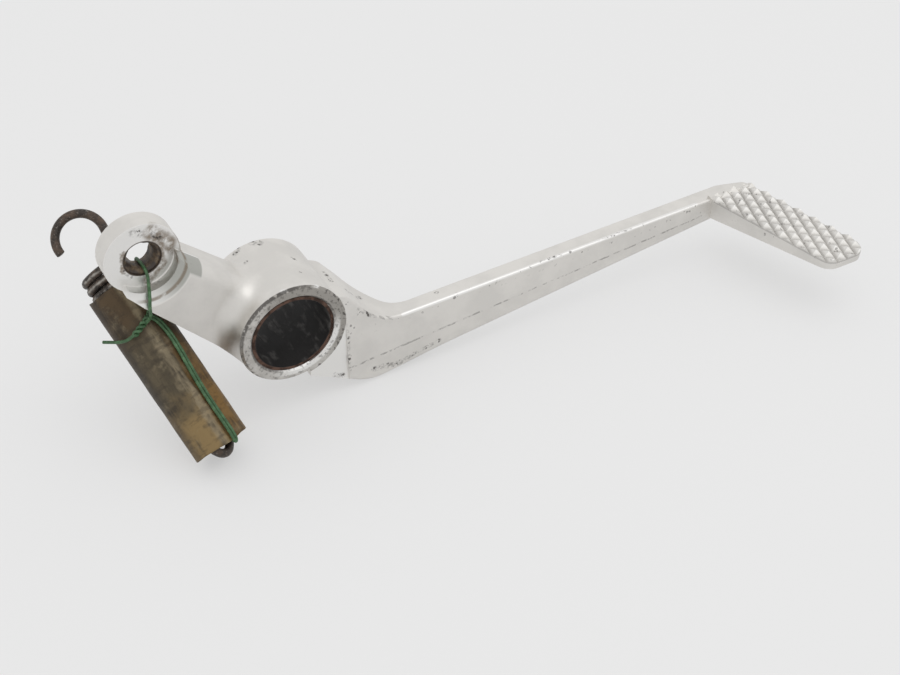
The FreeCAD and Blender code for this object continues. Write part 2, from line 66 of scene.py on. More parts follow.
# The spring and its sleeve lie on one axis, from the sleeve's foot to its head, in millimetres
SLEEVE_FOOT = Vector((-26.8, -21.75, -20.6))
SLEEVE_HEAD = Vector((-38.65, 14.51, 12.35))
SPRING_TURN = math.radians(-26.0)
LOOP_TURN = math.radians(60.0)

# Places and radii of the casting, in millimetres
EYE = Vector((-34.0, 0.0, 30.5))
EYE_RADIUS = 10.2
EYE_HOLE_RADIUS = 5.0
CUTTER_RADIUS = 15.0
BOSS_FACE = -12.45
BOSS_RADIUS = 15.4
BUSH_SEAT_RADIUS = 12.0
BORE_RADIUS = 11.0
FACING_END = 15.3
PAD_ORIGIN = Vector((146.7, -11.9, -3.5))

# Directions: out of the tread, and from the rod eye towards the hub
PAD_NORMAL = Vector((0.0153, -0.05, 0.9986))
EYE_TO_HUB = (0.744, 0.0, -0.667)

# The rod eye's middle in metres, with its place along the pivot left out
EYE_FLAT = (EYE.x * MM, 0.0, EYE.z * MM)

# Lines left by the turning cutter, in radians for each metre away from the rod eye
TURNED_LINES = 14000.0


def spring_axes():
    """The spring's own axes as columns: towards the hook's leg, across it, and along the coil."""
    along = (SLEEVE_HEAD - SLEEVE_FOOT).normalized()
    level = along.cross(Vector((0, 0, 1))).normalized()
    side = Matrix.Rotation(SPRING_TURN, 3, along) @ level
    return Matrix((side, along.cross(side), along)).transposed()


def spring_place():
    """From the spring's own frame in millimetres to the row frame in metres."""
    turn = spring_axes().to_4x4()
    return Matrix.Scale(MM, 4) @ Matrix.Translation(SLEEVE_FOOT) @ turn


def colour(name, text, value):
    return bpy.props.FloatVectorProperty(
        name=name, description=text, subtype="COLOR", size=3, min=0.0, max=1.0, default=value
    )


def length(name, text, value):
    return bpy.props.FloatProperty(name=name, description=text, default=value, min=0.0)


def factor(name, text, value):
    return bpy.props.FloatProperty(
        name=name, description=text, default=value, min=0.0, max=1.0, subtype="FACTOR"
    )


class CastingLook(bpy.types.PropertyGroup):
    """Colours and gloss of the cast lever."""

    metal: colour("Metal", "Satin skin of the casting", (0.78, 0.76, 0.727))
    # Fresh metal is the faced places' own colour; it is also painted on as highlights, on the ring's lower
    # right, the tread's tips and the arms' top edges
    fresh_and_highlight: colour("Fresh metal", "Faced and rubbed places", (0.86, 0.85, 0.83))
    dull: colour("Dull metal", "Stained end of the boss", (0.32, 0.302, 0.275))
    shade: colour("Shade", "Darker side of the wall beside the rod eye", (0.3, 0.305, 0.27))
    # The grime colour also paints shade into the bottoms of the tread's grooves
    grime_and_shade: colour("Grime", "Dirt in pits and along worn edges", (0.05, 0.043, 0.038))
    grease: colour("Grease", "Brown film round the rod hole", (0.17, 0.12, 0.072))
    sludge: colour("Sludge", "Thick grease inside the rod hole", (0.05, 0.038, 0.03))
    roughness: factor("Roughness", "Roughness of the satin skin", 0.46)
    fresh_roughness: factor("Fresh roughness", "Roughness of faced and rubbed places", 0.38)
    dirt_roughness: factor("Dirt roughness", "Roughness of dirt and grease", 0.62)


class BushLook(bpy.types.PropertyGroup):
    """Colours of the pivot bush."""

    rim: colour("Rim", "Bare edge of the bush", (0.13, 0.075, 0.055))
    film: colour("Film", "Black grease on the running face", (0.022, 0.0205, 0.02))
    wiped: colour("Wiped", "Grey smears where the grease is thin", (0.11, 0.105, 0.1))


class SpringLook(bpy.types.PropertyGroup):
    """Sizes and colours of the return spring, in millimetres."""

    wire: length("Wire", "Diameter of the spring wire", 2.44)
    coil_radius: length("Coil radius", "Radius of the coil at the middle of the wire", 5.55)
    coil_start: length("Coil start", "Height of the first turn above the sleeve's foot", 9.8)
    coil_end: length("Coil end", "Height of the last turn above the sleeve's foot", 56.56)
    hook_radius: length("Hook radius", "Radius of the hook at the middle of the wire", 6.6)
    hook_rise: length("Hook rise", "Height of the hook's centre above the last turn", 10.0)
    loop_level: length("Loop level", "Height of the loop's centre above the sleeve's foot", 3.6)
    dark: colour("Dark skin", "Old dark skin of the wire", (0.05, 0.043, 0.038))
    rust: colour("Rust", "Rust bloom on the wire", (0.115, 0.078, 0.055))
    # The bare colour paints small bare specks, and painted highlights along the outside of the turns
    bare: colour("Bare", "Rubbed lines on the turns", (0.5, 0.48, 0.44))


class SleeveLook(bpy.types.PropertyGroup):
    """Sizes and colours of the sleeve, in millimetres."""

    radius: length("Radius", "Outer radius of the sleeve", 8.0)
    wall: length("Wall", "Thickness of the sleeve", 0.7)
    lap: length("Lap", "Height of the step where the sleeve laps over itself", 0.3)
    olive: colour("Olive", "Grey brown of the middle", (0.105, 0.083, 0.05))
    pale: colour("Pale", "Worn spots and the crease", (0.27, 0.22, 0.14))
    tan: colour("Tan", "Paler lower end", (0.25, 0.17, 0.072))
    amber: colour("Amber", "Clear amber side", (0.2, 0.115, 0.036))
    # The brown is painted shadow of the rod arm, at the sleeve's upper end and down its right side
    brown: colour("Brown", "Brown upper end", (0.085, 0.055, 0.027))
    dirt: colour("Dirt", "Dark stains", (0.028, 0.021, 0.014))


class TieLook(bpy.types.PropertyGroup):
    """Size and colour of the tie wire, in millimetres."""

    wire: length("Wire", "Diameter of the coated wire", 0.88)
    coat: colour("Coat", "Colour of the wire's coat", (0.036, 0.095, 0.036))


class StageLook(bpy.types.PropertyGroup):
    """Floor and light."""

    floor: colour("Floor", "Colour of the floor", (0.82, 0.82, 0.82))
    glow: factor("Glow", "How far the floor shows its plain colour in place of shade", 0.55)
    world: bpy.props.FloatProperty(
        name="World", description="Strength of the even light", default=0.86, min=0.0
    )
    lamp: bpy.props.FloatProperty(
        name="Lamp", description="Power of the soft lamp", default=1.75, min=0.0, unit="POWER"
    )


def plug(tree, socket, value):
    """Links a socket, or sets its constant."""
    if isinstance(value, bpy.types.NodeSocket):
        tree.links.new(value, socket)
    elif socket.type == "RGBA":
        socket.default_value = (*value[:3], 1.0)
    else:
        socket.default_value = value


def add(tree, kind, inputs=None, **settings):
    made = tree.nodes.new(kind)
    for name, value in settings.items():
        setattr(made, name, value)
    for key, value in (inputs or {}).items():
        plug(tree, made.inputs[key], value)
    return made


def maths(tree, operation, first, second=0.0, clamp=False):
    made = add(tree, "ShaderNodeMath", {0: first, 1: second}, operation=operation, use_clamp=clamp)
    return made.outputs[0]


def vectors(tree, operation, first, second=(0.0, 0.0, 0.0)):
    made = add(tree, "ShaderNodeVectorMath", {0: first, 1: second}, operation=operation)
    return made.outputs["Value" if operation in ("LENGTH", "DOT_PRODUCT", "DISTANCE") else "Vector"]


def scaled(tree, vector, amount):
    """A vector times a value."""
    made = add(tree, "ShaderNodeVectorMath", {0: vector, "Scale": amount}, operation="SCALE")
    return made.outputs["Vector"]


def fade(tree, value, none_at, full_at):
    """A smooth mask that is 0 at one value and 1 at the other."""
    made = add(
        tree,
        "ShaderNodeMapRange",
        {"Value": value, "From Min": none_at, "From Max": full_at},
        interpolation_type="SMOOTHSTEP",
        clamp=True,
    )
    return made.outputs["Result"]


def ramp(tree, distance, none_at, full_at):
    """A smooth mask over a distance, between two values in millimetres."""
    return fade(tree, distance, none_at * MM, full_at * MM)


def side_of(tree, aim, direction, none_at, full_at):
    """A smooth mask for the side of a round part that looks in a direction."""
    return fade(tree, vectors(tree, "DOT_PRODUCT", aim, direction), none_at, full_at)


def blend(tree, mask, low, high):
    """Mixes two colours by a mask."""
    made = add(tree, "ShaderNodeMix", data_type="RGBA")
    plug(tree, made.inputs[0], mask)
    plug(tree, made.inputs[6], low)
    plug(tree, made.inputs[7], high)
    return made.outputs[2]


def slide(tree, mask, low, high):
    """Mixes two values by a mask."""
    made = add(tree, "ShaderNodeMix", data_type="FLOAT")
    plug(tree, made.inputs[0], mask)
    plug(tree, made.inputs[2], low)
    plug(tree, made.inputs[3], high)
    return made.outputs[0]


def noise_node(tree, place, scale, detail, roughness):
    inputs = {"Vector": place, "Scale": scale, "Detail": detail, "Roughness": roughness}
    return add(tree, "ShaderNodeTexNoise", inputs)


def cloud(tree, place, scale, detail, roughness):
    """A cloudy value from 0 to 1."""
    made = noise_node(tree, place, scale, detail, roughness)
    return made.outputs["Fac"]


def shaken(tree, place, scale, amount, detail=4.0, roughness=0.65):
    """Positions pushed about by up to half of an amount in millimetres, for ragged borders."""
    made = noise_node(tree, place, scale, detail, roughness)
    push = vectors(tree, "SUBTRACT", made.outputs["Color"], (0.5, 0.5, 0.5))
    return vectors(tree, "ADD", place, scaled(tree, push, amount * MM))


def most(tree, masks):
    """The strongest of several masks."""
    total = masks[0]
    for mask in masks[1:]:
        total = maths(tree, "MAXIMUM", total, mask)
    return total


def both(tree, *masks):
    """Several masks multiplied."""
    total = masks[0]
    for mask in masks[1:]:
        total = maths(tree, "MULTIPLY", total, mask)
    return total


def new_group(name, takes, gives):
    """An empty shader node group with its sockets, and its input and output nodes."""
    group = bpy.data.node_groups.new(name, "ShaderNodeTree")
    for label, kind in takes:
        group.interface.new_socket(label, in_out="INPUT", socket_type=kind)
    for label, kind in gives:
        group.interface.new_socket(label, in_out="OUTPUT", socket_type=kind)
    return group, group.nodes.new("NodeGroupInput"), group.nodes.new("NodeGroupOutput")


def stroke_group():
    """A streak along a line between two points, or a blotch where they are the same."""
    takes = [
        ("Position", "NodeSocketVector"),
        ("Start", "NodeSocketVector"),
        ("Line", "NodeSocketVector"),
        ("Share", "NodeSocketVector"),
        ("Reach", "NodeSocketFloat"),
    ]
    tree, given, wanted = new_group("Streak", takes, [("Mask", "NodeSocketFloat")])
    offset = vectors(tree, "SUBTRACT", given.outputs["Position"], given.outputs["Start"])
    share = vectors(tree, "DOT_PRODUCT", offset, given.outputs["Share"])
    share = maths(tree, "ADD", share, 0.0, True)
    nearest = scaled(tree, given.outputs["Line"], share)
    away = vectors(tree, "DISTANCE", offset, nearest)
    inner = maths(tree, "MULTIPLY", given.outputs["Reach"], 0.45)
    tree.links.new(fade(tree, away, given.outputs["Reach"], inner), wanted.inputs["Mask"])
    return tree


def pit_group():
    """Small scattered pits of mixed sizes."""
    takes = [
        ("Position", "NodeSocketVector"),
        ("Scale", "NodeSocketFloat"),
        ("Amount", "NodeSocketFloat"),
    ]
    tree, given, wanted = new_group("Pits", takes, [("Mask", "NodeSocketFloat")])
    place = shaken(tree, given.outputs["Position"], 900.0, 0.9, 3.0, 0.6)
    cells = add(tree, "ShaderNodeTexVoronoi", {"Vector": place, "Scale": given.outputs["Scale"]})
    chance = add(tree, "ShaderNodeSeparateColor", {"Color": cells.outputs["Color"]}).outputs["Red"]
    spare = maths(tree, "SUBTRACT", chance, maths(tree, "SUBTRACT", 1.0, given.outputs["Amount"]))
    radius = maths(tree, "MULTIPLY", spare, 1.1)
    gap = maths(tree, "SUBTRACT", radius, cells.outputs["Distance"])
    tree.links.new(fade(tree, gap, 0.0, 0.07), wanted.inputs["Mask"])
    return tree


def skin_group():
    """The fine grain and slow change of tone of a worn metal skin."""
    gives = [("Grain", "NodeSocketFloat"), ("Tone", "NodeSocketFloat")]
    tree, given, wanted = new_group("Metal skin", [("Position", "NodeSocketVector")], gives)
    place = given.outputs["Position"]
    grain = cloud(tree, place, 2600.0, 3.0, 0.6)
    lumps = cloud(tree, place, 420.0, 2.0, 0.5)
    grain = maths(tree, "ADD", maths(tree, "MULTIPLY", grain, 0.6), maths(tree, "MULTIPLY", lumps, 0.6))
    tone = cloud(tree, place, 95.0, 4.0, 0.6)
    tree.links.new(grain, wanted.inputs["Grain"])
    tree.links.new(tone, wanted.inputs["Tone"])
    return tree


# The shared node groups that are built so far, by name
GROUPS = {}


def group_node(tree, name, inputs):
    """Places one of the shared node groups, which is built at its first use."""
    builders = {"Streak": stroke_group, "Pits": pit_group, "Metal skin": skin_group}
    if name not in GROUPS:
        GROUPS[name] = builders[name]()
    return add(tree, "ShaderNodeGroup", inputs, node_tree=GROUPS[name])


def streaks(tree, place, marks):
    """Several streaks in one mask, each given in millimetres of the row frame."""
    total = 0.0
    for start, end, reach in marks:
        line = (Vector(end) - Vector(start)) * MM
        values = {
            "Position": place,
            "Start": Vector(start) * MM,
            "Line": line,
            "Share": line / max(line.length_squared, 1e-12),
            "Reach": MM * reach,
        }
        total = maths(tree, "MAXIMUM", total, group_node(tree, "Streak", values).outputs["Mask"])
    return total


def new_material(name):
    """A material with only its shader and output, and the object coordinates to draw with."""
    made = bpy.data.materials.new(name)
    made.use_nodes = True
    tree = made.node_tree
    shader = tree.nodes["Principled BSDF"]
    place = tree.nodes.new("ShaderNodeTexCoord").outputs["Object"]
    return made, tree, shader, place


def parts_of(tree, vector):
    made = add(tree, "ShaderNodeSeparateXYZ", {"Vector": vector})
    return made.outputs["X"], made.outputs["Y"], made.outputs["Z"]


def flat_of(tree, across, up):
    """A position with its place along the pivot left out."""
    return add(tree, "ShaderNodeCombineXYZ", {"X": across, "Y": 0.0, "Z": up}).outputs[0]


def rough_bump(tree, shader, height, strength, distance):
    made = add(tree, "ShaderNodeBump", {"Height": height, "Strength": strength, "Distance": distance})
    tree.links.new(made.outputs["Normal"], shader.inputs["Normal"])


# Marks that sit in one place, each with its start, end and reach in millimetres: dirt, the seam
# along the arm, films of grease, and rubbed edges that are also painted lighter as a highlight
GRIME = [
    ((-0.2, 11.0, 15.4), (1.6, 10.2, 15.3), 1.5),
    ((-5.5, 10.5, 14.4), (-4.6, 11.6, 14.7), 1.2),
    ((-4.9, 5.2, 14.6), (-5.6, 4.6, 14.4), 0.7),
    ((7.0, 1.8, 13.7), (7.8, 1.4, 13.2), 0.8),
    ((6.1, -5.3, 14.1), (6.4, -5.4, 14.0), 0.6),
    ((15.6, 0.0, 6.4), (15.5, -4.1, 6.4), 0.9),
    ((19.7, -4.4, 1.8), (21.6, -4.0, -0.6), 0.9),
    ((22.6, -4.6, -1.9), (24.4, -3.4, -3.6), 0.9),
    ((19.4, -12.3, 1.0), (23.3, -12.4, -3.1), 0.8),
    ((23.3, -12.4, -3.1), (29.5, -12.7, -6.4), 0.75),
    ((45.3, -9.3, -6.1), (45.7, -9.1, -6.1), 0.8),
    ((78.2, -12.3, -5.6), (85.0, -12.5, -5.5), 0.5),
    ((99.0, -12.5, -5.3), (110.0, -12.6, -5.1), 0.45),
    ((23.0, -13.2, -22.0), (31.5, -13.1, -23.4), 1.3),
    ((11.1, -12.4, -19.6), (13.6, -12.4, -20.7), 1.1),
    ((-33.6, 0.0, 38.4), (-35.2, 0.0, 39.0), 1.6),
    ((-30.2, 0.0, 37.0), (-28.4, 0.0, 34.4), 1.1),
    ((-38.9, 0.0, 28.2), (-37.8, 0.0, 26.0), 0.9),
    ((-33.0, -0.4, 22.2), (-30.2, -1.6, 22.6), 0.6),
    ((33.0, -12.9, -22.6), (44.0, -12.8, -20.4), 1.0),
    ((-22.8, -4.4, 27.6), (-17.4, -4.6, 23.0), 1.0),
    ((15.5, -13.2, 5.0), (15.4, -13.2, -19.5), 0.8),
]
SEAM = [
    ((16.0, -13.4, -18.2), (60.0, -13.4, -15.0), 0.42),
    ((60.0, -13.4, -15.0), (136.0, -13.4, -9.5), 0.36),
]
GREASE = [
    ((-30.6, 0.0, 37.4), (-26.8, 0.0, 32.6), 3.0),
    ((-26.6, -0.4, 31.6), (-26.2, -1.8, 28.4), 1.8),
    ((-29.0, 0.0, 27.2), (-33.6, 0.0, 23.4), 1.7),
    ((-38.6, 0.0, 33.6), (-39.2, 0.0, 28.6), 1.2),
    ((-29.6, 0.0, 34.6), (-29.2, 0.0, 27.4), 1.5),
]
RUBBED_EDGE_HIGHLIGHTS = [
    ((33.0, -12.6, -6.5), (134.0, -12.5, -4.7), 0.8),
    ((-2.0, -11.6, 15.0), (8.0, -11.6, 12.8), 0.8),
]


def casting_places(tree, place):
    """Masks for the places of the casting that have a look of their own, and the distances behind them."""
    across, along, up = parts_of(tree, place)
    flat = flat_of(tree, across, up)
    at = SimpleNamespace(across=across, along=along, up=up)
    at.from_pivot = vectors(tree, "LENGTH", flat)
    at.from_eye = vectors(tree, "DISTANCE", flat, EYE_FLAT)

    # The boss's outer end: its ring, the faced web beside it, and parts of the ring
    near_end = ramp(tree, along, BOSS_FACE + 0.95, BOSS_FACE + 0.7)
    at.ring = both(tree, near_end, ramp(tree, at.from_pivot, BOSS_RADIUS + 0.3, BOSS_RADIUS - 0.05))
    at.web = both(
        tree,
        ramp(tree, along, BOSS_FACE + 0.12, BOSS_FACE + 0.04),
        ramp(tree, at.from_pivot, BOSS_RADIUS, BOSS_RADIUS + 0.3),
        ramp(tree, across, FACING_END + 0.1, FACING_END - 0.1),
    )
    at.mouth = ramp(tree, at.from_pivot, BUSH_SEAT_RADIUS + 0.75, BUSH_SEAT_RADIUS + 0.55)
    at.rim = ramp(tree, at.from_pivot, BOSS_RADIUS - 0.9, BOSS_RADIUS - 0.5)
    aim = vectors(tree, "NORMALIZE", flat)
    at.up_right = side_of(tree, aim, (0.8, 0.0, 0.6), -0.1, 0.9)
    at.up_left = side_of(tree, aim, (-0.55, 0.0, 0.84), 0.35, 0.85)
    at.low_right = side_of(tree, aim, (0.55, 0.0, -0.84), 0.3, 0.85)

    # The rod eye: the wall of its hole, the edge of its face, its face, and the cutter's wall beside it
    in_hole = ramp(tree, at.from_eye, EYE_HOLE_RADIUS + 0.35, EYE_HOLE_RADIUS + 0.1)
    at.hole = both(tree, in_hole, ramp(tree, along, -0.5, 0.0))
    to_hub = vectors(tree, "SUBTRACT", flat, EYE_FLAT)
    to_hub = ramp(tree, vectors(tree, "DOT_PRODUCT", to_hub, EYE_TO_HUB), 2.0, 6.0)
    at.arc = both(
        tree,
        to_hub,
        ramp(tree, at.from_eye, EYE_RADIUS - 0.5, EYE_RADIUS),
        ramp(tree, at.from_eye, EYE_RADIUS + 0.7, EYE_RADIUS + 0.3),
        ramp(tree, along, 0.9, 0.5),
    )
    on_eye = ramp(tree, at.from_eye, EYE_RADIUS + 0.3, EYE_RADIUS + 0.1)
    at.eye_face = both(tree, on_eye, ramp(tree, along, 0.25, 0.05))
    at.cutter = both(
        tree,
        ramp(tree, at.from_eye, CUTTER_RADIUS + 0.4, CUTTER_RADIUS),
        ramp(tree, along, -4.95, -4.7),
        ramp(tree, along, 0.3, 0.0),
    )

    # The foot pad: the height above the tips of its tread, the pad, and the bottoms of its grooves, which
    # get painted shade
    above = vectors(tree, "SUBTRACT", place, tuple(PAD_ORIGIN * MM))
    at.above = vectors(tree, "DOT_PRODUCT", above, tuple(PAD_NORMAL))
    at.pad = both(tree, ramp(tree, along, -13.6, -14.4), ramp(tree, across, 136.0, 138.0))
    low = ramp(tree, at.above, -0.6, -1.4)
    at.groove = both(tree, at.pad, low, ramp(tree, at.above, -1.8, -1.5))
    return at


def casting_dirt_and_shade(tree, place, ragged, at, fine, mottle):
    """Dark dirt: pits, chips round the boss, marks in set places and the seam; and painted shade in the
    tread's grooves.
    """
    pits = group_node(tree, "Pits", {"Position": place, "Scale": 420.0, "Amount": 0.12}).outputs["Mask"]
    crowd = group_node(tree, "Pits", {"Position": place, "Scale": 950.0, "Amount": 0.55}).outputs["Mask"]
    chips = most(tree, [fade(tree, fine, 0.53, 0.6), both(tree, at.up_left, fade(tree, fine, 0.34, 0.48))])
    chipped = both(tree, at.ring, at.rim, chips, 0.85)
    ring_pits = both(tree, at.ring, fade(tree, fine, 0.54, 0.62), 0.5)
    elsewhere = maths(tree, "SUBTRACT", 1.0, at.low_right)
    mouth_dirt = both(tree, at.ring, at.mouth, fade(tree, fine, 0.36, 0.55), elsewhere)

    near_root = both(tree, ramp(tree, at.across, -20.0, -8.0), ramp(tree, at.across, 40.0, 22.0))
    near_edge = both(tree, ramp(tree, at.along, -11.6, -12.6), ramp(tree, at.up, -9.0, -7.0))
    patches = fade(tree, cloud(tree, place, 130.0, 2.0, 0.5), 0.54, 0.68)
    on_edge = both(tree, crowd, near_edge, fade(tree, mottle, 0.5, 0.6), 0.8)
    speckle = most(tree, [both(tree, pits, near_root, patches), on_edge])
    marks = streaks(tree, ragged, GRIME)
    seam = both(tree, streaks(tree, shaken(tree, place, 400.0, 0.6), SEAM), fade(tree, mottle, 0.44, 0.58))
    smudges = both(tree, marks, fade(tree, fine, 0.4, 0.7), 0.55)
    blotches = most(tree, [both(tree, marks, crowd, 0.9), smudges])
    dirt = [both(tree, speckle, 0.75), blotches, both(tree, seam, 0.5), chipped, ring_pits]
    # The bottoms of the tread's grooves get painted shade
    return most(tree, [*dirt, both(tree, mouth_dirt, 0.7), both(tree, at.groove, 0.3)])


def casting_material(look):
    """Satin cast metal with faced, rubbed, pitted and greasy places."""
    made, tree, shader, place = new_material("cast_metal_satin")
    skin = group_node(tree, "Metal skin", {"Position": place})
    tone = skin.outputs["Tone"]
    at = casting_places(tree, place)
    fine = cloud(tree, place, 900.0, 4.0, 0.65)
    mottle = cloud(tree, place, 380.0, 5.0, 0.65)
    dulled = both(tree, at.ring, fade(tree, maths(tree, "ADD", mottle, at.up_right), 0.05, 0.95))
    # Painted highlight: the lower right of the ring's inner bevel is painted in fresh metal
    bevel = both(tree, at.ring, at.low_right, ramp(tree, at.from_pivot, 14.2, 13.4))
    ragged = shaken(tree, place, 620.0, 1.3)
    # Dirt, with painted shade in the tread's grooves
    dirt = casting_dirt_and_shade(tree, place, ragged, at, fine, mottle)

    film = both(tree, streaks(tree, ragged, GREASE), fade(tree, mottle, 0.3, 0.58), 0.85)
    on_arc = both(tree, at.arc, fade(tree, mottle, 0.36, 0.5), 0.7)
    film = most(tree, [film, on_arc, both(tree, at.hole, 0.95)])
    # Rubbed edges along the top of the arms, also painted lighter as a highlight
    rubbed = streaks(tree, place, RUBBED_EDGE_HIGHLIGHTS)
    # Painted highlight: the tread's tips are painted in fresh metal
    tips = both(tree, at.pad, ramp(tree, at.above, -1.1, -0.1), 0.55)
    # Faced places in their own fresh metal, plus painted highlights: the ring's lower right, the tread's
    # tips and the rubbed edges
    fresh_and_highlight = most(tree, [at.web, both(tree, at.eye_face, 0.55), at.cutter, tips, rubbed, bevel])

    worn = [channel * 0.92 for channel in look.metal]
    base = blend(tree, fade(tree, tone, 0.36, 0.64), worn, look.metal)
    base = blend(tree, both(tree, dulled, 0.85), base, look.dull)
    base = blend(tree, fresh_and_highlight, base, look.fresh_and_highlight)
    slant = vectors(tree, "DOT_PRODUCT", place, (0.6, 0.0, 0.8))
    in_wall = ramp(tree, at.along, -0.1, -0.5)
    shaded = both(tree, at.cutter, in_wall, ramp(tree, slant, -8.0, 3.0), 0.73)
    base = blend(tree, shaded, base, look.shade)
    base = blend(tree, film, base, look.grease)
    base = blend(tree, both(tree, at.hole, 0.9), base, look.sludge)
    base = blend(tree, dirt, base, look.grime_and_shade)
    plug(tree, shader.inputs["Base Color"], base)

    rough = slide(tree, tone, look.roughness - 0.05, look.roughness + 0.07)
    rough = slide(tree, fresh_and_highlight, rough, look.fresh_roughness)
    rough = slide(tree, most(tree, [dirt, both(tree, film, 0.6)]), rough, look.dirt_roughness)
    plug(tree, shader.inputs["Roughness"], rough)
    metal = slide(tree, most(tree, [dirt, both(tree, film, 0.8)]), 1.0, 0.1)
    plug(tree, shader.inputs["Metallic"], metal)

    turned = maths(tree, "SINE", maths(tree, "MULTIPLY", at.from_eye, TURNED_LINES))
    turned = both(tree, turned, at.cutter, 0.12)
    height = maths(tree, "ADD", skin.outputs["Grain"], turned)
    rough_bump(tree, shader, height, 0.22, 0.1 * MM)
    return made


def bush_material(look):
    """Thin bronze liner, bare at its edge and black with grease inside."""
    made, tree, shader, place = new_material("bush_greased")
    across, _, up = parts_of(tree, place)
    from_pivot = vectors(tree, "LENGTH", flat_of(tree, across, up))
    edge = ramp(tree, from_pivot, BORE_RADIUS + 0.03, BORE_RADIUS + 0.12)
    smear = cloud(tree, place, 210.0, 5.0, 0.65)
    lines = cloud(tree, vectors(tree, "MULTIPLY", place, (1.0, 0.25, 1.0)), 420.0, 4.0, 0.6)
    wiped = both(tree, fade(tree, smear, 0.46, 0.66), fade(tree, lines, 0.45, 0.62))
    inside = blend(tree, wiped, look.film, look.wiped)
    dark_rim = [channel * 0.35 for channel in look.rim]
    rim = blend(tree, fade(tree, lines, 0.42, 0.6), look.rim, dark_rim)
    plug(tree, shader.inputs["Base Color"], blend(tree, edge, inside, rim))
    plug(tree, shader.inputs["Roughness"], slide(tree, smear, 0.5, 0.75))
    plug(tree, shader.inputs["Metallic"], slide(tree, edge, 0.1, 0.5))
    shader.inputs["Specular IOR Level"].default_value = 0.3
    rough_bump(tree, shader, maths(tree, "ADD", smear, lines), 0.5, 0.3 * MM)
    return made


def spring_material(look):
    """Old spring wire: dark skin, rust bloom, bare specks, and light lines along the turns painted as a
    highlight.
    """
    made, tree, shader, place = new_material("spring_wire_rusty")
    patches = cloud(tree, place, 260.0, 5.0, 0.65)
    grain = cloud(tree, place, 1800.0, 4.0, 0.7)
    bloom = fade(tree, maths(tree, "ADD", patches, maths(tree, "MULTIPLY", grain, 0.35)), 0.56, 0.84)
    axis = (SLEEVE_HEAD - SLEEVE_FOOT).normalized()
    offset = vectors(tree, "SUBTRACT", place, tuple(SLEEVE_FOOT * MM))
    level = vectors(tree, "DOT_PRODUCT", offset, tuple(axis))
    from_axis = vectors(tree, "LENGTH", vectors(tree, "CROSS_PRODUCT", offset, tuple(axis)))
    # Painted highlight: a light line along the outside of each turn
    turn_highlights = both(tree, ramp(tree, level, 59.2, 57.6), ramp(tree, from_axis, 6.6, 6.76))
    specks = both(tree, fade(tree, grain, 0.58, 0.7), fade(tree, patches, 0.62, 0.4))
    bare = most(tree, [specks, both(tree, turn_highlights, fade(tree, patches, 0.4, 0.55))])
    base = blend(tree, bloom, look.dark, look.rust)
    base = blend(tree, both(tree, bare, 0.7), base, look.bare)
    plug(tree, shader.inputs["Base Color"], base)
    plug(tree, shader.inputs["Roughness"], slide(tree, bloom, 0.42, 0.72))
    plug(tree, shader.inputs["Metallic"], slide(tree, bloom, 0.75, 0.15))
    rough_bump(tree, shader, grain, 0.5, 0.2 * MM)
    return made


